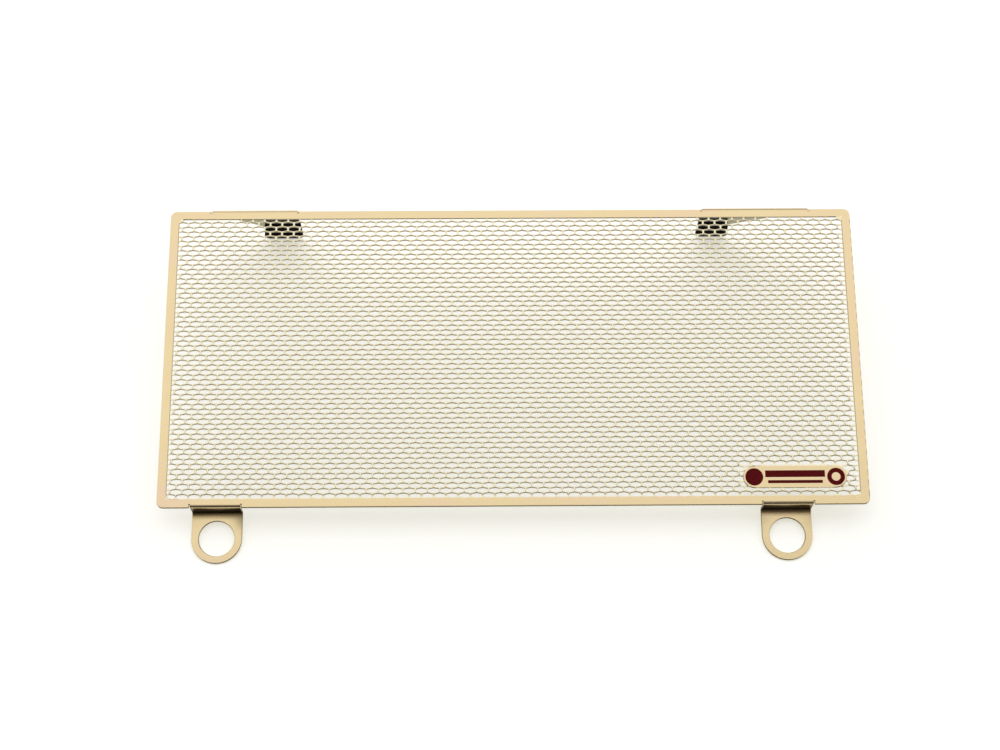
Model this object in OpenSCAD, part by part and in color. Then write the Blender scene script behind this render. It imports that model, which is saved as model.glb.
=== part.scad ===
// Radiator guard: one titanium sheet, cut to a fine mesh inside a narrow
// border, with two tongues folded back at the top and two stepped tabs at
// the bottom. A thin rubber pad lines the inner face of each tongue.
// It is drawn face up with the panel level, and at_rest() then lays it on
// its back, as it comes to rest on the tongues and the tabs.

/* [Panel] */
// Length of the panel, end to end
panel_w = 350; // [320:1:420]
// Height of the panel, edge to edge
panel_h = 157.6; // [140:0.1:220]
// Thickness of the sheet
sheet_t = 1.2; // [0.8:0.1:1.6]
// Width of the plain border around the mesh
border_w = 4.5; // [3.5:0.1:7]
// Radius of the panel's outer corners
outer_r = 3.2; // [1:0.1:6]
// Radius of the mesh field's corners
field_r = 3; // [1:0.1:6]

/* [Mesh] */
// Distance from one row of openings to the next
row_pitch = 2.582; // [2.5:0.002:4]
// Width of the strand between two rows
strand_w = 0.7; // [0.5:0.05:1.4]
// Height of the middle of the lowest row above the border
first_row = 1.15; // [0.9:0.05:1.5]
// Width of the rib that parts each row
rib_w = 0.8; // [0.6:0.1:3]
// Sideways step of the rib from one row to the next
rib_step = 3.01; // [2:0.01:6]

/* [Badge field] */
// Length of the plain field left in the mesh
badge_w = 51.4; // [40:0.1:70]
// Height of the plain field, with half-round ends
badge_h = 11; // [8:0.1:14]
// Space from the field to the border at the right
badge_side_gap = 6.1; // [3:0.1:30]
// Space from the field to the border below it
badge_low_gap = 4.1; // [2:0.1:30]

/* [Badge print] */
// Thickness of the printed marks
print_t = 0.1; // [0.05:0.05:0.3]
// Diameter of the round mark at each end
mark_d = 8.8; // [5:0.1:8.8]
// Width of the ring that forms the right mark
mark_ring = 2.2; // [1:0.1:3]
// Length of the upper bar
bar_w = 29.5; // [15:0.1:30]
// Height of the upper bar
bar_h = 3.4; // [1:0.1:3.6]
// Length of the lower bar
low_bar_w = 27; // [10:0.1:30]
// Height of the lower bar
low_bar_h = 1.5; // [0.5:0.1:2]
// Space between the two bars
bar_gap = 1.6; // [0.5:0.1:2]

/* [Folds] */
// Inside radius of every fold
fold_r = 1; // [0.5:0.1:2]
// Width of the relief slot at each end of a fold
relief_w = 0.5; // [0.3:0.1:1.5]
// Extra depth of the relief slot past the fold line
relief_extra = 0.3; // [0.1:0.1:1]

/* [Upper tongues] */
// Depth of the tongues behind the panel's face
tongue_depth = 36; // [28:0.5:50]
// Radius of the end corners of the tongues and their pads
tongue_r = 3; // [1:0.5:6]
// Depth of the web where it meets the tongue
web_depth = 20; // [12:0.5:26]
// Depth of the web at its outer end
web_end_depth = 3.6; // [3.3:0.1:6]
// Space from the panel's left end to the left bracket
left_end_gap = 20.9; // [8:0.1:40]
// Width of the left tongue
left_tongue_w = 20.2; // [12:0.1:22]
// Length of the left bracket's fold
left_fold_w = 44.3; // [30:0.1:50]
// Space from the panel's right end to the right bracket
right_end_gap = 21.2; // [8:0.1:40]
// Width of the right tongue
right_tongue_w = 16.8; // [12:0.1:22]
// Length of the right bracket's fold
right_fold_w = 55.2; // [30:0.1:58]

/* [Tongue pads] */
// Thickness of the rubber pads
pad_t = 1.5; // [0.5:0.1:3]
// Space between a pad and the fold
pad_fold_gap = 1; // [0.5:0.1:4]
// Space between a pad and the tongue's end
pad_end_gap = 3.4; // [0.5:0.1:6]
// How much narrower a pad is at the fold than at its end
pad_taper = 2.8; // [0.5:0.1:5]

/* [Lower tabs] */
// Width of the tabs, with half-round ends
tab_w = 25; // [21:0.5:30]
// Depth of the tabs' face behind the panel's face
tab_depth = 10; // [6:0.5:16]
// Diameter of the fixing hole
hole_d = 17.5; // [8:0.5:18]
// Middle of the fixing hole below the panel's lower edge
hole_out = 13; // [12:0.5:20]
// Middle of the left tab, from the panel's left end
left_tab_end = 28.7; // [24:0.1:60]
// Middle of the right tab, from the panel's right end
right_tab_end = 40.2; // [24:0.1:60]

/* [Hidden] */
// Facets of the rounds
$fn = 64;
// Half sizes of the panel and of the mesh field
half_w = panel_w / 2;
half_h = panel_h / 2;
field_x = half_w - border_w;
field_y = half_h - border_w;
// Outside radius of a fold, which is also how far a folded leg stands back
fold_out = fold_r + sheet_t;
// How far the start of a fold overlaps the flat border
join = 1;
// Rows of openings, as many as have their middle within the border
slot_h = row_pitch - strand_w;
low_row_y = first_row - field_y;
row_count = floor((2 * field_y - first_row) / row_pitch) + 1;
// Middle of the badge field
badge_x = field_x - badge_side_gap - badge_w / 2;
badge_y = badge_low_gap + badge_h / 2 - field_y;
mark_x = (badge_w - badge_h) / 2;
// Inner sides of the tongues and middles of the tabs, from the panel's middle
left_tongue_x = half_w - left_end_gap - left_fold_w;
right_tongue_x = half_w - right_end_gap - right_fold_w;
left_tab_x = half_w - left_tab_end;
right_tab_x = half_w - right_tab_end;
// Outermost point of the tabs below the panel's middle
tab_tip = half_h + hole_out + tab_w / 2;
// Angle at which the part lies on its tongues and tabs
rest_tilt = atan((tongue_depth - tab_depth - sheet_t) / (half_h + tab_tip));
// Height of the panel's middle above the ground at rest
rest_height = tongue_depth * cos(rest_tilt) - half_h * sin(rest_tilt);
// Front and back limits of the part at rest, about the panel's middle
back_y = (half_h + sheet_t) * cos(rest_tilt) + tongue_depth * sin(rest_tilt);
front_y = tab_depth * sin(rest_tilt) - tab_tip * cos(rest_tilt);

function row_y(i) = low_row_y + i * row_pitch;
function rib_x(i) = (i % 2 == 0 ? -0.5 : 0.5) * rib_step;
function row_meets_badge(i) = abs(row_y(i) - badge_y) < (slot_h + badge_h) / 2;

// Rectangle with rounded corners about the origin, of half sizes x and y
module round_rect(x, y, r) {
    square([2 * (x - r), 2 * y], center = true);
    square([2 * x, 2 * (y - r)], center = true);
    for (sx = [-1, 1], sy = [-1, 1])
        translate([sx * (x - r), sy * (y - r)]) circle(r);
}

// Plain field with half-round ends
module badge_outline() {
    square([badge_w - badge_h, badge_h], center = true);
    for (side = [-1, 1])
        translate([side * (badge_w - badge_h) / 2, 0]) circle(d = badge_h);
}

// One row of the mesh, parted by a rib or by the badge field
module row_slots(i) {
    difference() {
        translate([-half_w, row_y(i) - slot_h / 2]) square([panel_w, slot_h]);
        if (!row_meets_badge(i))
            translate([rib_x(i) - rib_w / 2, row_y(i) - slot_h]) square([rib_w, 2 * slot_h]);
    }
}

// All openings of the mesh
module mesh_openings() {
    difference() {
        intersection() {
            round_rect(field_x, field_y, field_r);
            union() for (i = [0 : row_count - 1]) row_slots(i);
        }
        translate([badge_x, badge_y]) badge_outline();
    }
}

// Cut in the border for a fold from x0 to x1, with its relief slots.
// The border's edge is at y = 0, and the fold starts at the given distance from it.
module fold_cut(x0, x1, start) {
    translate([x0, -start]) square([x1 - x0, 2 * start]);
    for (x = [x0 - relief_w, x1])
        translate([x, -start - relief_extra]) square([relief_w, 2 * start + relief_extra]);
}

// Flat panel with its mesh, its face at z = 0
module panel() {
    translate([0, 0, -sheet_t])
        linear_extrude(sheet_t)
            difference() {
                round_rect(half_w, half_h, outer_r);
                mesh_openings();
                translate([0, half_h]) {
                    fold_cut(-left_tongue_x - left_fold_w, -left_tongue_x, fold_r);
                    fold_cut(right_tongue_x, right_tongue_x + right_fold_w, fold_r);
                }
                translate([0, -half_h]) mirror([0, 1]) {
                    fold_cut(-left_tab_x - tab_w / 2, -left_tab_x + tab_w / 2, fold_out);
                    fold_cut(right_tab_x - tab_w / 2, right_tab_x + tab_w / 2, fold_out);
                }
            }
}

// Quarter of a ring between the two fold radii, in the first quadrant
module fold_section() {
    intersection() {
        difference() {
            circle(fold_out);
            circle(fold_r);
        }
        square(fold_out);
    }
}

// Extrudes a section drawn in y and z along x, from x0 to x1
module along_x(x0, x1) {
    translate([x0, 0, 0]) rotate([90, 0, 90]) linear_extrude(x1 - x0) children();
}

// Fold from the flat border down to a leg that stands square to the panel.
// The border's edge is at y = 0, and the leg's inner face lines up with it.
module border_fold(x0, x1) {
    along_x(x0, x1) {
        translate([-fold_r, -fold_out]) fold_section();
        translate([-fold_r - join, -sheet_t]) square([join, sheet_t]);
    }
}

// Strip of width w between two depths, with rounded corners at the deeper end
module tongue_outline(w, top, end) {
    translate([0, top]) {
        square([w, end - top - tongue_r]);
        translate([tongue_r, 0]) square([w - 2 * tongue_r, end - top]);
    }
    for (x = [tongue_r, w - tongue_r])
        translate([x, end - tongue_r]) circle(tongue_r);
}

// Outline of an upper bracket in x and depth: the tongue at x = 0, the web
// running from it to the end of the fold
module bracket_outline(tongue_w, fold_w) {
    tongue_outline(tongue_w, fold_out, tongue_depth);
    polygon([
        [0, fold_out], [fold_w, fold_out], [fold_w, web_end_depth], [tongue_w, web_depth], [0, web_depth]
    ]);
}

// Stands an outline in x and depth square to the panel, from y to y + t
module standing(y, t) {
    translate([0, y, 0]) rotate([-90, 0, 0]) linear_extrude(t) children();
}

// Upper bracket, with its tongue at x = 0 and the fold running along +x
module bracket(tongue_w, fold_w) {
    translate([0, half_h, 0]) border_fold(0, fold_w);
    standing(half_h, sheet_t) bracket_outline(tongue_w, fold_w);
}

// Pad on the inner face of a tongue that starts at x = 0. Its outer side slants,
// so that it reaches the tongue's full width only near its end.
module tongue_pad(tongue_w) {
    top = fold_out + pad_fold_gap;
    end = tongue_depth - pad_end_gap;
    color([0.08, 0.08, 0.08]) standing(half_h - pad_t, pad_t) difference() {
        tongue_outline(tongue_w, top, end);
        polygon([
            [tongue_w - pad_taper, top], [tongue_w - pad_taper, top - 1], [tongue_w + 1, top - 1],
            [tongue_w + 1, end - tongue_r], [tongue_w, end - tongue_r]
        ]);
    }
}

// Places the left bracket and its pad, which mirror those at the right
module at_left_tongue() {
    translate([-left_tongue_x, 0, 0]) mirror([1, 0, 0]) children();
}

// Places the right bracket and its pad
module at_right_tongue() {
    translate([right_tongue_x, 0, 0]) children();
}

// Tab's face in x and y, from the second fold to the half-round end
module tab_outline() {
    translate([-tab_w / 2, -hole_out]) square([tab_w, hole_out - fold_r]);
    translate([0, -hole_out]) circle(d = tab_w);
}

// Lower tab about x = 0: it steps back from the border and runs outward.
// The outer face of its riser lines up with the border's edge.
module tab() {
    translate([0, -half_h, 0]) {
        translate([0, sheet_t, 0]) {
            mirror([0, 1, 0]) border_fold(-tab_w / 2, tab_w / 2);
            along_x(-tab_w / 2, tab_w / 2) {
                translate([-sheet_t, fold_r - tab_depth]) square([sheet_t, tab_depth - fold_r - fold_out]);
                translate([-fold_out, fold_r - tab_depth]) mirror([0, 1]) fold_section();
            }
        }
        difference() {
            translate([0, 0, -tab_depth - sheet_t]) linear_extrude(sheet_t) tab_outline();
            translate([0, -hole_out, -tab_depth - 2 * sheet_t]) cylinder(h = 3 * sheet_t, d = hole_d);
        }
    }
}

// Lays the part on its back on the ground, middle of its box over the origin
module at_rest() {
    translate([0, -(back_y + front_y) / 2, rest_height]) rotate([rest_tilt, 0, 0]) children();
}

// The sheet: panel, two brackets and two tabs in one piece
module guard_sheet() {
    color([0.88, 0.79, 0.6]) at_rest() {
        panel();
        at_left_tongue() bracket(left_tongue_w, left_fold_w);
        at_right_tongue() bracket(right_tongue_w, right_fold_w);
        translate([-left_tab_x, 0, 0]) tab();
        translate([right_tab_x, 0, 0]) tab();
    }
}

// Printed marks on the badge field: a disc, a ring and two bars
module badge_print() {
    bars_h = bar_h + bar_gap + low_bar_h;
    color([0.4, 0.05, 0.05]) at_rest() translate([badge_x, badge_y, 0]) linear_extrude(print_t) {
        translate([-mark_x, 0]) circle(d = mark_d);
        translate([mark_x, 0]) difference() {
            circle(d = mark_d);
            circle(d = mark_d - 2 * mark_ring);
        }
        translate([-bar_w / 2, bars_h / 2 - bar_h]) square([bar_w, bar_h]);
        translate([-low_bar_w / 2, -bars_h / 2]) square([low_bar_w, low_bar_h]);
    }
}

guard_sheet();
at_rest() at_left_tongue() tongue_pad(left_tongue_w);  // left_tongue_pad
at_rest() at_right_tongue() tongue_pad(right_tongue_w);  // right_tongue_pad
badge_print();
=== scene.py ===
# Looks of a motorcycle radiator guard: one folded titanium sheet with a fine staggered
# mesh, two rubber pads on its tongues and a dark-red print on its plain field.
# The sheet is drawn as the flat blank that it is cut from, meshed, and then folded.
# Lengths are in millimetres up to the last step, which brings them to metres.
import math

import bpy
from mathutils import Euler, Matrix, Vector
from mathutils.geometry import delaunay_2d_cdt

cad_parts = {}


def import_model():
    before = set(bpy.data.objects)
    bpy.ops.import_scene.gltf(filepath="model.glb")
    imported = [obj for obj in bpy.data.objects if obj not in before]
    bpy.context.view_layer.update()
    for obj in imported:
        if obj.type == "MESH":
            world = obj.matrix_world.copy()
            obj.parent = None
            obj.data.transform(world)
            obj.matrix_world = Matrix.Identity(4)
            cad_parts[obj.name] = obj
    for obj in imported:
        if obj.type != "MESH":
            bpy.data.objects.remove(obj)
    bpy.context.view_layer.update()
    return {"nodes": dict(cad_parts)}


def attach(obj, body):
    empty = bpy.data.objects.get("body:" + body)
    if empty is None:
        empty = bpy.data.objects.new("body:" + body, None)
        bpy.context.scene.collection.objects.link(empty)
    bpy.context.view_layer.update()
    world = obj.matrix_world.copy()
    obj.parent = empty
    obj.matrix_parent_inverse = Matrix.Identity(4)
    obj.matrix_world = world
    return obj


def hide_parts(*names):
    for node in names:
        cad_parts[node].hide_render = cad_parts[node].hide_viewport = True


MM = 0.001

# Panel
PANEL_W = 350.0
PANEL_H = 157.6
SHEET_T = 1.2
BORDER_W = 4.5
OUTER_R = 3.2
FIELD_R = 3.0

# Rounding of the sheet's outer edges and holes, of the strands, and around the mesh field
EDGE_BEVEL = 0.35
STRAND_EASE = 0.2
FIELD_EASE = 0.25

# Mesh: the pitch of its six-sided openings, and the size of one opening
COLUMN_PITCH = 6.018
ROW_PITCH = 2.582
FIRST_ROW = 1.15
COLUMN_SHIFT = -0.3
OPENING_HALF_L = 2.6
OPENING_HALF_H = 1.25
OPENING_END_H = 0.8
OPENING_CORNER = 0.35
# An opening of which less than this area is left, in square millimetres, isn't cut
LEAST_OPENING = 1.6

# Plain field for the print
BADGE_W = 51.4
BADGE_H = 11.0
BADGE_SIDE_GAP = 6.1
BADGE_LOW_GAP = 4.1

# Folds: inside radius at the brackets and at the tabs, and the relief cuts at their ends
FOLD_R = 1.0
TAB_FOLD_R = 0.4
RELIEF_W = 0.3
RELIEF_EXTRA = 0.1

# Upper brackets: space from the panel's end, width of the tongue, length of the fold
LEFT_BRACKET = (20.9, 20.2, 44.3)
RIGHT_BRACKET = (21.2, 16.8, 55.2)
TONGUE_DEPTH = 36.0
TONGUE_R = 3.0
WEB_DEPTH = 20.0
WEB_END_DEPTH = 3.6

# Lower tabs
TAB_W = 25.0
TAB_DEPTH = 10.0
HOLE_D = 17.5
HOLE_OUT = 13.0
LEFT_TAB_END = 28.7
RIGHT_TAB_END = 40.2

# Steps of a fold and of the arcs, the angle in degrees above which an edge is sharp, and
# the distance within which the points of the flat blank are one
FOLD_STEPS = 6
CORNER_STEPS = 8
TONGUE_STEPS = 6
BADGE_STEPS = 24
TAB_STEPS = 32
HOLE_STEPS = 64
SHARP_ANGLE = 30
MERGE = 1e-5

# Material slots of the sheet
FACE, WALL, BACK, STRAND = range(4)

# Colours of the materials, each as the tones that it varies between. The real sheet is one
# metal: its strands are drawn paler, which is painted light, and its back darker, which is painted
# shade.
FACE_TONES = [(0.73, 0.59, 0.34), (0.72, 0.575, 0.335), (0.73, 0.56, 0.37)]
# Painted shade: the back of the sheet is drawn darker than its face
BACK_PAINTED_SHADE_TONES = [(0.36, 0.33, 0.21), (0.34, 0.31, 0.20), (0.36, 0.31, 0.23)]
# Painted light: the strands are drawn paler than the sheet's face
STRAND_PAINTED_LIGHT_TONES = [(0.78, 0.70, 0.48), (0.78, 0.69, 0.47), (0.78, 0.68, 0.50)]
WALL_TONES = [(0.38, 0.35, 0.26), (0.48, 0.45, 0.34)]
RUBBER_TONES = [(0.002, 0.002, 0.0015), (0.005, 0.0045, 0.004)]
INK_TONES = [(0.10, 0.002, 0.003), (0.17, 0.005, 0.007)]

# Dark shade in the corners of the tabs: how far it reaches along the sheet, and its tones.
# It stands for the dark side of the room, which a real corner mirrors twice.
CORNER_REACH = 16.0
CORNER_STOPS = [
    (0.0, (1, 1, 1)),
    (0.08, (0.35, 0.31, 0.25)),
    (0.3, (0.12, 0.09, 0.06)),
    (0.57, (0.04, 0.025, 0.015)),
    (0.66, (0.3, 0.26, 0.2)),
    (0.75, (0.75, 0.71, 0.65)),
    (0.84, (1, 1, 1)),
]

# Camera, in the panel's own frame: its place in millimetres and its turns in degrees
CAMERA_AT = (-16.3, -316.2, 901.7)
CAMERA_TURNS = (-18.70, 0.60, 0.31)
FOCAL_PIXELS = 1900
IMAGE_W = 1000
SENSOR_W = 36.0

# Table: its size in metres, its colour, and the colour and strength of its glow
TABLE_SIZE = 8
TABLE_COLOUR = (0.84, 0.84, 0.89, 1)
GLOW_COLOUR = (1.0, 0.985, 0.855, 1)
GLOW = 0.57

# Light of the room: its strength on the camera's side and elsewhere, and where along y the
# one gives way to the other
DARK_LIGHT = 0.03
ROOM_LIGHT = 0.58
DARK_UP_TO = -0.85
BRIGHT_FROM = 0.15

# Softboxes: place, target and size in metres, and power in watts
SOFTBOXES = {
    "rear": ((-0.9, 1.5, 0.45), (0, 0, 0), (1.4, 0.9), 2.6),
    "key": ((-0.05, 0.42, 1.1), (0, 0.05, 0), (2.0, 1.1), 4.4),
}

HALF_W = PANEL_W / 2
HALF_H = PANEL_H / 2
FIELD_X = HALF_W - BORDER_W
FIELD_Y = HALF_H - BORDER_W
BADGE_X = FIELD_X - BADGE_SIDE_GAP - BADGE_W / 2
BADGE_Y = BADGE_LOW_GAP + BADGE_H / 2 - FIELD_Y
LEFT_TAB_X = LEFT_TAB_END - HALF_W
RIGHT_TAB_X = HALF_W - RIGHT_TAB_END
TAB_TIP = HALF_H + HOLE_OUT + TAB_W / 2
REST_TILT = math.atan((TONGUE_DEPTH - TAB_DEPTH - SHEET_T) / (HALF_H + TAB_TIP))

# Where the folds start on the flat blank, their outside radii, and their lengths along
# the sheet's middle. A tab's riser ends, and its plate starts, at these distances from
# its fold line.
FOLD_OUT = FOLD_R + SHEET_T
FOLD_LINE = HALF_H - FOLD_R
FOLD_ARC = math.pi / 2 * (FOLD_R + SHEET_T / 2)
TAB_FOLD_OUT = TAB_FOLD_R + SHEET_T
TAB_FOLD_LINE = HALF_H - TAB_FOLD_OUT
TAB_FOLD_ARC = math.pi / 2 * (TAB_FOLD_R + SHEET_T / 2)
RISER_END = TAB_FOLD_ARC + TAB_DEPTH - TAB_FOLD_R - TAB_FOLD_OUT
PLATE_START = RISER_END + TAB_FOLD_ARC
HOLE_AT = PLATE_START + HOLE_OUT - TAB_FOLD_R


def at_rest():
    """Matrix from the panel's own frame to the ground, in millimetres"""
    c, s = math.cos(REST_TILT), math.sin(REST_TILT)
    height = TONGUE_DEPTH * c - HALF_H * s
    back = (HALF_H + SHEET_T) * c + TONGUE_DEPTH * s
    front = TAB_DEPTH * s - TAB_TIP * c
    return Matrix.Translation((0, -(back + front) / 2, height)) @ Matrix.Rotation(REST_TILT, 4, "X")


# Outlines of the flat blank. A blank point is (x, s): s is the distance along the sheet
# from the panel's middle line, and is the panel's own y where the sheet isn't folded.


def arc(cx, cy, radius, start, end, steps):
    """Points of an arc between two angles in degrees, both ends included"""
    angles = (math.radians(start + (end - start) * i / steps) for i in range(steps + 1))
    return [(cx + radius * math.cos(a), cy + radius * math.sin(a)) for a in angles]


def round_rect(hx, hy, radius):
    """Rectangle with rounded corners about the origin, counter-clockwise"""
    ix, iy = hx - radius, hy - radius
    return (
        arc(ix, -iy, radius, -90, 0, CORNER_STEPS)
        + arc(ix, iy, radius, 0, 90, CORNER_STEPS)
        + arc(-ix, iy, radius, 90, 180, CORNER_STEPS)
        + arc(-ix, -iy, radius, 180, 270, CORNER_STEPS)
    )


def badge_outline(ease):
    """Plain field with half-round ends, moved inward by an ease, counter-clockwise"""
    height = BADGE_H - 2 * ease
    r = height / 2
    reach = (BADGE_W - 2 * ease) / 2 - r
    right = arc(BADGE_X + reach, BADGE_Y, r, -90, 90, BADGE_STEPS)
    return right + arc(BADGE_X - reach, BADGE_Y, r, 90, 270, BADGE_STEPS)


def opening(cx, cy):
    """One mesh opening: six-sided, with its apexes up and down and eased ends"""
    slope = (OPENING_HALF_H - OPENING_END_H) / OPENING_HALF_L
    shoulder = OPENING_HALF_L - OPENING_CORNER
    shoulder_h = OPENING_END_H + OPENING_CORNER * slope
    quarter = [(OPENING_HALF_L, OPENING_END_H - OPENING_CORNER), (shoulder, shoulder_h)]
    right = [(x, -y) for x, y in reversed(quarter)] + quarter
    left = [(-x, -y) for x, y in right]
    ring = right + [(0, OPENING_HALF_H)] + left + [(0, -OPENING_HALF_H)]
    return [(cx + x, cy + y) for x, y in ring]


def fold_stations(start, length):
    """Distances along the sheet at which a fold is divided, from its start over its length"""
    return [start + length * i / FOLD_STEPS for i in range(FOLD_STEPS + 1)]


def tab_stations():
    """Distances from a tab's fold line at which its two folds are divided"""
    return fold_stations(0, TAB_FOLD_ARC) + fold_stations(RISER_END, TAB_FOLD_ARC)


def bracket_span(end_gap, fold_w):
    """Ends along x of the right-hand kind of bracket"""
    inner = HALF_W - end_gap - fold_w
    return inner, inner + fold_w


def bracket_spans():
    """Ends along x of the two upper brackets"""
    (left_gap, _, left_fold), (right_gap, _, right_fold) = LEFT_BRACKET, RIGHT_BRACKET
    inner, outer = bracket_span(left_gap, left_fold)
    return [(-outer, -inner), bracket_span(right_gap, right_fold)]


def tab_spans():
    """Ends along x of the two lower tabs"""
    return [(x - TAB_W / 2, x + TAB_W / 2) for x in (LEFT_TAB_X, RIGHT_TAB_X)]


def leg(x0, x1, body, stations, edge):
    """Outline of a folded leg from x0 to x1, with a relief cut at each end of its fold.
    Its points are (x, u), and u is the distance from the fold line outward. The border's
    edge is at u = edge."""
    floor = -RELIEF_EXTRA
    left = [(x0 - RELIEF_W, edge), (x0 - RELIEF_W, floor), (x0, floor)]
    right = [(x1, floor), (x1 + RELIEF_W, floor), (x1 + RELIEF_W, edge)]
    down = [(x0, u) for u in stations]
    up = [(x1, u) for u in reversed(stations)]
    return left + down + body + up + right


def tab_leg(x):
    """Outline of a lower tab about x"""
    body = arc(x, HOLE_AT, TAB_W / 2, 180, 0, TAB_STEPS)
    return leg(x - TAB_W / 2, x + TAB_W / 2, body, tab_stations(), TAB_FOLD_OUT)


def bracket_leg(end_gap, tongue_w, fold_w):
    """Outline of the right-hand kind of bracket: tongue at the inner side, web beside it"""
    x0, x1 = bracket_span(end_gap, fold_w)
    shift = FOLD_ARC - FOLD_OUT
    tip = TONGUE_DEPTH + shift - TONGUE_R
    body = arc(x0 + TONGUE_R, tip, TONGUE_R, 180, 90, TONGUE_STEPS)
    body += arc(x0 + tongue_w - TONGUE_R, tip, TONGUE_R, 90, 0, TONGUE_STEPS)
    body += [(x0 + tongue_w, WEB_DEPTH + shift), (x1, WEB_END_DEPTH + shift)]
    return leg(x0, x1, body, fold_stations(0, FOLD_ARC), FOLD_R)


def mirrored(points):
    return [(-x, y) for x, y in reversed(points)]


def blank_outline():
    """The whole blank, counter-clockwise from its lower left corner"""
    ix, iy = HALF_W - OUTER_R, HALF_H - OUTER_R
    low = tab_leg(LEFT_TAB_X) + tab_leg(RIGHT_TAB_X)
    high = mirrored(bracket_leg(*LEFT_BRACKET)) + bracket_leg(*RIGHT_BRACKET)
    return (
        arc(-ix, -iy, OUTER_R, 180, 270, CORNER_STEPS)
        + [(x, -TAB_FOLD_LINE - u) for x, u in low]
        + arc(ix, -iy, OUTER_R, -90, 0, CORNER_STEPS)
        + arc(ix, iy, OUTER_R, 0, 90, CORNER_STEPS)
        + [(x, FOLD_LINE + u) for x, u in reversed(high)]
        + arc(-ix, iy, OUTER_R, 90, 180, CORNER_STEPS)
    )


def inset(loop, distance):
    """A counter-clockwise loop moved inward by a distance"""
    moved = []
    for before, here, after in zip(loop[-1:] + loop[:-1], loop, loop[1:] + loop[:1]):
        p = Vector(here)
        normals = []
        for start, end in ((Vector(before), p), (p, Vector(after))):
            along = (end - start).normalized()
            normals.append(Vector((-along.y, along.x)))
        mid = normals[0] + normals[1]
        moved.append(tuple(p + mid * (2 * distance / mid.length_squared)))
    return moved


# Rows of the mesh, and the half steps of a column by which the middles of its openings
# and of its strands stand off the panel's middle
ROWS = range(int((2 * FIELD_Y - FIRST_ROW) / ROW_PITCH) + 1)
HALF_STEPS = range(-2 * int(HALF_W / COLUMN_PITCH) - 2, 2 * int(HALF_W / COLUMN_PITCH) + 3)


def row_y(row):
    return FIRST_ROW - FIELD_Y + row * ROW_PITCH


def column_x(half_steps):
    return COLUMN_SHIFT + half_steps * COLUMN_PITCH / 2


def mesh_openings():
    """Every opening of the staggered mesh, row by row, over the whole field"""
    places = ((row, k) for row in ROWS for k in HALF_STEPS if (row + k) % 2 == 0)
    return [opening(column_x(k), row_y(row)) for row, k in places]


def is_clear(x, y, distance):
    """Whether a point keeps a distance from the border and from the box of the plain field"""
    off_badge = (
        abs(x - BADGE_X) > BADGE_W / 2 + distance or abs(y - BADGE_Y) > BADGE_H / 2 + distance
    )
    return abs(x) < FIELD_X - distance and abs(y) < FIELD_Y - distance and off_badge


def ridges():
    """Middle lines of the mesh's strands: their points, and the pairs that they join"""
    slope = (OPENING_HALF_H - OPENING_END_H) / OPENING_HALF_L
    reach = (ROW_PITCH - slope * COLUMN_PITCH / 2) / 2
    points, index, pairs = [], {}, []
    for row in ROWS:
        for k in HALF_STEPS:
            for end in (-1, 1):
                x, y = column_x(k), row_y(row) + end * reach
                if (row + k) % 2 and is_clear(x, y, FIELD_EASE + reach / 2):
                    index[row, k, end] = len(points)
                    points.append((x, y))
    for (row, k, end), here in index.items():
        if end < 0:
            others = [(row, k, 1), (row - 1, k - 1, 1), (row - 1, k + 1, 1)]
            pairs += [(here, index[other]) for other in others if other in index]
    return points, pairs


# Meshing and folding


def fold_lines():
    """Ends of the lines across the legs at which the folds are divided"""
    high = [FOLD_LINE + u for u in fold_stations(0, FOLD_ARC)]
    low = [-TAB_FOLD_LINE - u for u in tab_stations()]
    lines = [(x0, x1, s) for x0, x1 in bracket_spans() for s in high]
    return lines + [(x0, x1, s) for x0, x1 in tab_spans() for s in low]


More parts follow.
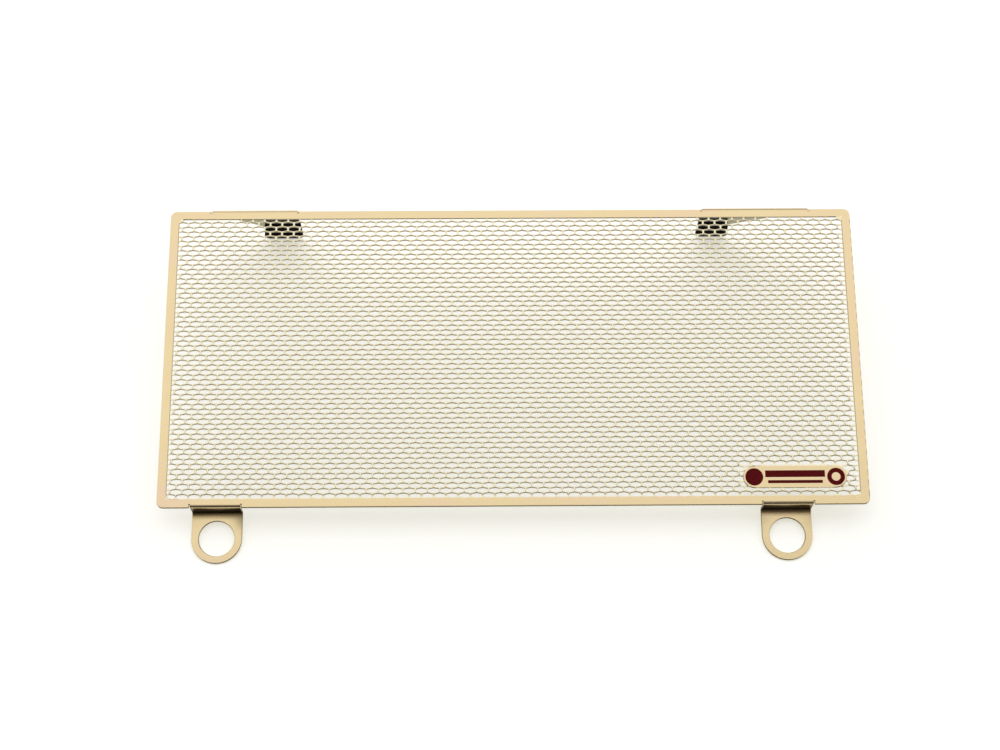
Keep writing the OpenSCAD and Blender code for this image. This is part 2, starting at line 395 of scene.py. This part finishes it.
def blank_mesh():
    """Triangles of the flat blank: its points, which of them lie on its rim and which on the
    ridges of the strands, and the triangles"""
    points, faces, edges, rim = [], [], [], set()

    def add(loop, as_face=True):
        """Adds a closed loop as a face or as edges only, and gives its points' numbers"""
        first = len(points)
        points.extend(Vector(p) for p in loop)
        ring = list(range(first, len(points)))
        if as_face:
            faces.append(ring)
        else:
            edges.extend(zip(ring, ring[1:] + ring[:1]))
        return ring

    outline = blank_outline()
    rim.update(add(outline))
    add(inset(outline, EDGE_BEVEL), as_face=False)
    for x in (LEFT_TAB_X, RIGHT_TAB_X):
        circle = arc(x, -TAB_FOLD_LINE - HOLE_AT, HOLE_D / 2, 0, 360, HOLE_STEPS)[:-1]
        rim.update(add(circle))
        add(inset(circle, -EDGE_BEVEL), as_face=False)
    blank, holes, window, badge, first_cell = 0, {1, 2}, 3, 4, 5
    add(round_rect(FIELD_X, FIELD_Y, FIELD_R))
    add(badge_outline(0))
    for loop in mesh_openings():
        add(loop)
    add(round_rect(FIELD_X + FIELD_EASE, FIELD_Y + FIELD_EASE, FIELD_R + FIELD_EASE), as_face=False)
    add(badge_outline(FIELD_EASE), as_face=False)
    first_ridge = len(points)
    ridge_points, ridge_pairs = ridges()
    points.extend(Vector(p) for p in ridge_points)
    edges.extend((first_ridge + a, first_ridge + b) for a, b in ridge_pairs)
    on_ridge = range(first_ridge, len(points))
    for x0, x1, s in fold_lines():
        line = [x0, x0 + EDGE_BEVEL, x1 - EDGE_BEVEL, x1]
        first = len(points)
        points.extend(Vector((x, s)) for x in line)
        edges.extend((first + i, first + i + 1) for i in range(len(line) - 1))

    verts, _, triangles, sources, _, inside = delaunay_2d_cdt(points, edges, faces, 0, MERGE)

    def cell_of(ids):
        """The mesh opening among the faces that a triangle lies in"""
        if window in ids and badge not in ids:
            return next((i for i in ids if i >= first_cell), None)
        return None

    cells = [cell_of(ids) for ids in inside]
    areas = {}
    for triangle, cell in zip(triangles, cells):
        a, b, c = (verts[i] for i in triangle)
        areas[cell] = areas.get(cell, 0) + abs((b - a).cross(c - a)) / 2
    kept = [
        triangle
        for triangle, ids, cell in zip(triangles, inside, cells)
        if blank in ids
        and holes.isdisjoint(ids)
        and (cell is None or areas[cell] < LEAST_OPENING)
    ]
    rims = [any(i in rim for i in source) for source in sources]
    crests = [any(i in on_ridge for i in source) for source in sources]
    return verts, rims, crests, kept


def folded(x, s, depth):
    """Place in the panel's own frame of a blank point at a depth below the sheet's face"""
    if s > 0:
        spans, side, line, out, length = bracket_spans(), 1, FOLD_LINE, FOLD_OUT, FOLD_ARC
    else:
        spans, side, line, out, length = tab_spans(), -1, TAB_FOLD_LINE, TAB_FOLD_OUT, TAB_FOLD_ARC
    u = abs(s) - line
    slack = RELIEF_W / 2
    if u <= 0 or not any(x0 - slack < x < x1 + slack for x0, x1 in spans):
        return Vector((x, s, -depth))
    radius = out - depth
    if u <= length:
        a = u / length * math.pi / 2
        return Vector((x, side * (line + radius * math.sin(a)), radius * math.cos(a) - out))
    if s > 0 or u <= RISER_END:
        return Vector((x, side * (line + radius), length - out - u))
    radius = TAB_FOLD_R + depth
    turn_y, turn_z = HALF_H + TAB_FOLD_R, TAB_FOLD_R - TAB_DEPTH
    if u <= PLATE_START:
        a = (u - RISER_END) / length * math.pi / 2
        return Vector((x, side * (turn_y - radius * math.cos(a)), turn_z - radius * math.sin(a)))
    return Vector((x, side * (turn_y + u - PLATE_START), turn_z - radius))


def is_strand(point):
    """Whether a blank point lies in the mesh, and not on the border or the plain field"""
    reach = BADGE_W / 2 - BADGE_H / 2
    along = max(0, abs(point.x - BADGE_X) - reach)
    on_badge = math.hypot(along, point.y - BADGE_Y) < BADGE_H / 2
    return abs(point.x) < FIELD_X and abs(point.y) < FIELD_Y and not on_badge


def sheet_parts():
    """The folded sheet at rest: its points, its faces, the material slot of each face, and
    whether each point lies on the ridge of a strand"""
    flat, rims, crests, triangles = blank_mesh()
    place = Matrix.Scale(MM, 4) @ at_rest()
    used = sorted({i for triangle in triangles for i in triangle})
    index = {old: new for new, old in enumerate(used)}
    count = len(used)
    faces, slots, open_edges = [], [], {}
    for triangle in triangles:
        a, b, c = (index[i] for i in triangle)
        middle = sum((flat[i] for i in triangle), Vector((0, 0))) / 3
        faces += [(a, b, c), (c + count, b + count, a + count)]
        slots += [STRAND if is_strand(middle) else FACE, BACK]
        for edge in ((a, b), (b, c), (c, a)):
            if edge[::-1] in open_edges:
                del open_edges[edge[::-1]]
            else:
                open_edges[edge] = True
    faces += [(b, a, a + count, b + count) for a, b in open_edges]
    slots += [WALL] * len(open_edges)
    at_wall = {i for edge in open_edges for i in edge}
    verts = []
    for back in (False, True):
        for here, i in enumerate(used):
            ease = EDGE_BEVEL if rims[i] else STRAND_EASE if here in at_wall else 0
            verts.append(place @ folded(flat[i].x, flat[i].y, SHEET_T - ease if back else ease))
    return verts, faces, slots, [crests[i] for i in used] * 2


def sheet_object():
    """The guard's sheet as one closed mesh, smooth across the ridges of its strands"""
    verts, faces, slots, on_ridge = sheet_parts()
    mesh = bpy.data.meshes.new("guard_sheet_folded")
    mesh.from_pydata(verts, [], faces)
    mesh.polygons.foreach_set("material_index", slots)
    mesh.shade_smooth()
    mesh.set_sharp_from_angle(angle=math.radians(SHARP_ANGLE))
    for edge in mesh.edges:
        if on_ridge[edge.vertices[0]] and on_ridge[edge.vertices[1]]:
            edge.use_edge_sharp = False
    piece = bpy.data.objects.new("guard_sheet_folded", mesh)
    bpy.context.scene.collection.objects.link(piece)
    return piece


# Materials


def new_material(name):
    """A node material, its shader, a function that adds a node, and one that links sockets"""
    material = bpy.data.materials.new(name)
    material.use_nodes = True
    tree = material.node_tree

    def node(kind, **values):
        """Adds a node, and sets its inputs and its own settings by name"""
        made = tree.nodes.new(kind)
        for key, value in values.items():
            if key in made.inputs:
                made.inputs[key].default_value = value
            else:
                setattr(made, key, value)
        return made

    return material, tree.nodes["Principled BSDF"], node, tree.links.new


def stretched_noise(node, link, scale, stretch=(1, 1, 1), detail=3.0):
    """Noise on the object's own place, drawn out along each axis by a factor"""
    place = node("ShaderNodeTexCoord")
    mapping = node("ShaderNodeMapping")
    mapping.inputs["Scale"].default_value = [scale / k for k in stretch]
    noise = node("ShaderNodeTexNoise", Scale=1.0, Detail=detail)
    link(place.outputs["Object"], mapping.inputs["Vector"])
    link(mapping.outputs["Vector"], noise.inputs["Vector"])
    return noise


def ramp(node, link, source, stops):
    """A colour ramp over a value, from stops of (place, colour)"""
    made = node("ShaderNodeValToRGB")
    elements = made.color_ramp.elements
    while len(elements) < len(stops):
        elements.new(0.5)
    for element, (place, colour) in zip(elements, stops):
        element.position = place
        element.color = (*colour, 1)
    link(source, made.inputs["Fac"])
    return made.outputs["Color"]


def tab_corner_shade(node, link):
    """Dark shade in the corners of the tabs: the distance along a tab, from the border's
    edge down its riser and out over its plate, gives the tone"""
    rest = at_rest()
    along = rest.to_3x3() @ Vector((0, -1, -1))
    edge = (rest @ Vector((0, -HALF_H, 0))) * MM
    place = node("ShaderNodeTexCoord")
    distance = node("ShaderNodeVectorMath", operation="DOT_PRODUCT")
    distance.inputs[1].default_value = along
    link(place.outputs["Object"], distance.inputs[0])
    start = along.dot(edge)
    share = node("ShaderNodeMapRange")
    share.inputs["From Min"].default_value = start
    share.inputs["From Max"].default_value = start + CORNER_REACH * MM
    link(distance.outputs["Value"], share.inputs["Value"])
    return ramp(node, link, share.outputs["Result"], CORNER_STOPS)


def titanium(name, tones):
    """Pale titanium: soft patches of three tones, and a fine grain along the panel"""
    material, shader, node, link = new_material(name)
    shader.inputs["Metallic"].default_value = 1.0
    patches = stretched_noise(node, link, scale=60, stretch=(3, 1, 1), detail=2.0)
    colour = ramp(node, link, patches.outputs["Fac"], list(zip((0.3, 0.5, 0.7), tones)))
    # The tones are multiplied by the painted shade in the corners of the tabs
    tint = node("ShaderNodeMix", data_type="RGBA", blend_type="MULTIPLY")
    tint.inputs["Factor"].default_value = 1.0
    link(colour, tint.inputs["A"])
    link(tab_corner_shade(node, link), tint.inputs["B"])
    link(tint.outputs["Result"], shader.inputs["Base Color"])
    grain = stretched_noise(node, link, scale=6000, stretch=(40, 1, 1))
    rough = node("ShaderNodeMapRange")
    rough.inputs["To Min"].default_value = 0.18
    rough.inputs["To Max"].default_value = 0.28
    link(grain.outputs["Fac"], rough.inputs["Value"])
    link(rough.outputs["Result"], shader.inputs["Roughness"])
    bump = node("ShaderNodeBump", Strength=0.15, Distance=0.00002)
    link(grain.outputs["Fac"], bump.inputs["Height"])
    link(bump.outputs["Normal"], shader.inputs["Normal"])
    return material


def cut_titanium():
    """Cut walls of the sheet: rougher and browner than its faces"""
    material, shader, node, link = new_material("cut_titanium")
    shader.inputs["Metallic"].default_value = 1.0
    shader.inputs["Roughness"].default_value = 0.45
    streaks = stretched_noise(node, link, scale=3000, stretch=(1, 1, 6), detail=2.0)
    colour = ramp(node, link, streaks.outputs["Fac"], list(zip((0.35, 0.65), WALL_TONES)))
    link(colour, shader.inputs["Base Color"])
    return material


def rubber():
    """Matt black rubber sheet with a fine pebbled skin"""
    material, shader, node, link = new_material("black_rubber")
    shader.inputs["Roughness"].default_value = 0.85
    shader.inputs["Specular IOR Level"].default_value = 0.03
    pebbles = stretched_noise(node, link, scale=1800)
    colour = ramp(node, link, pebbles.outputs["Fac"], list(zip((0.3, 0.7), RUBBER_TONES)))
    link(colour, shader.inputs["Base Color"])
    bump = node("ShaderNodeBump", Strength=0.5, Distance=0.0001)
    link(pebbles.outputs["Fac"], bump.inputs["Height"])
    link(bump.outputs["Normal"], shader.inputs["Normal"])
    return material


def ink():
    """Dark-red printed ink, a little uneven in its cover"""
    material, shader, node, link = new_material("dark_red_print")
    shader.inputs["Roughness"].default_value = 0.7
    shader.inputs["Specular IOR Level"].default_value = 0.1
    cover = stretched_noise(node, link, scale=900)
    colour = ramp(node, link, cover.outputs["Fac"], list(zip((0.3, 0.7), INK_TONES)))
    link(colour, shader.inputs["Base Color"])
    return material


# Stage


def seen_directly(node, link):
    """1 for a ray from the camera, a reflection or through glass, and 0 for the rest"""
    path = node("ShaderNodeLightPath")
    first = node("ShaderNodeMath", operation="MAXIMUM")
    link(path.outputs["Is Camera Ray"], first.inputs[0])
    link(path.outputs["Is Glossy Ray"], first.inputs[1])
    second = node("ShaderNodeMath", operation="MAXIMUM")
    link(first.outputs["Value"], second.inputs[0])
    link(path.outputs["Is Transmission Ray"], second.inputs[1])
    return second.outputs["Value"]


def floor():
    """Large white table. Its own shading carries the shadows, and a slightly warm glow that
    only the camera, reflections and glass see brings it up to white."""
    material, shader, node, link = new_material("table_white")
    shader.inputs["Base Color"].default_value = TABLE_COLOUR
    shader.inputs["Roughness"].default_value = 0.9
    shader.inputs["Specular IOR Level"].default_value = 0.0
    shader.inputs["Emission Color"].default_value = GLOW_COLOUR
    glow = node("ShaderNodeMath", operation="MULTIPLY")
    glow.inputs[1].default_value = GLOW
    link(seen_directly(node, link), glow.inputs[0])
    link(glow.outputs["Value"], shader.inputs["Emission Strength"])
    bpy.ops.mesh.primitive_plane_add(size=TABLE_SIZE)
    table = bpy.context.object
    table.name = "table"
    table.data.materials.append(material)


def world():
    """Pale room that is bright overhead and behind, and dark on the side of the camera"""
    made = bpy.data.worlds.new("room")
    bpy.context.scene.world = made
    made.use_nodes = True
    tree = made.node_tree
    link = tree.links.new
    background = tree.nodes["Background"]
    background.inputs["Color"].default_value = (1, 1, 1, 1)
    place = tree.nodes.new("ShaderNodeTexCoord")
    split = tree.nodes.new("ShaderNodeSeparateXYZ")
    link(place.outputs["Generated"], split.inputs["Vector"])
    side = tree.nodes.new("ShaderNodeMapRange")
    side.inputs["From Min"].default_value = DARK_UP_TO
    side.inputs["From Max"].default_value = BRIGHT_FROM
    side.inputs["To Min"].default_value = DARK_LIGHT
    side.inputs["To Max"].default_value = ROOM_LIGHT
    link(split.outputs["Y"], side.inputs["Value"])
    link(side.outputs["Result"], background.inputs["Strength"])


def softbox(name, place, target, size, power):
    """A rectangular area light that faces a target"""
    data = bpy.data.lights.new(name, "AREA")
    data.shape = "RECTANGLE"
    data.size, data.size_y = size
    data.energy = power
    lamp = bpy.data.objects.new(name, data)
    lamp.location = place
    lamp.rotation_euler = (Vector(target) - Vector(place)).to_track_quat("-Z", "Y").to_euler()
    bpy.context.scene.collection.objects.link(lamp)


def camera():
    """Camera of the photograph, from its place and turns about the panel"""
    data = bpy.data.cameras.new("camera")
    data.sensor_fit = "HORIZONTAL"
    data.sensor_width = SENSOR_W
    data.lens = SENSOR_W * FOCAL_PIXELS / IMAGE_W
    made = bpy.data.objects.new("camera", data)
    turns = Euler([math.radians(a) for a in CAMERA_TURNS]).to_matrix().inverted().to_4x4()
    world_place = at_rest() @ Matrix.Translation(CAMERA_AT) @ turns
    world_place.translation *= MM
    made.matrix_world = world_place
    bpy.context.scene.collection.objects.link(made)
    bpy.context.scene.camera = made


def main():
    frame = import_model()
    nodes = frame["nodes"]
    camera()
    floor()
    world()
    for name, values in SOFTBOXES.items():
        softbox(name, *values)

    sheet = sheet_object()
    face = titanium("satin_titanium", FACE_TONES)
    # The back and strand materials are copies of the face's titanium, with painted shade and
    # painted light in their tones
    back = titanium("back_titanium_painted_shade", BACK_PAINTED_SHADE_TONES)
    strand = titanium("strand_titanium_painted_light", STRAND_PAINTED_LIGHT_TONES)
    for material in (face, cut_titanium(), back, strand):
        sheet.data.materials.append(material)
    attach(sheet, "root")
    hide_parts("guard_sheet")

    black = rubber()
    print_ink = ink()
    for name, material in (
        ("left_tongue_pad", black),
        ("right_tongue_pad", black),
        ("badge_print", print_ink),
    ):
        nodes[name].data.materials.clear()
        nodes[name].data.materials.append(material)

    bpy.context.scene.view_settings.view_transform = "Standard"


main()
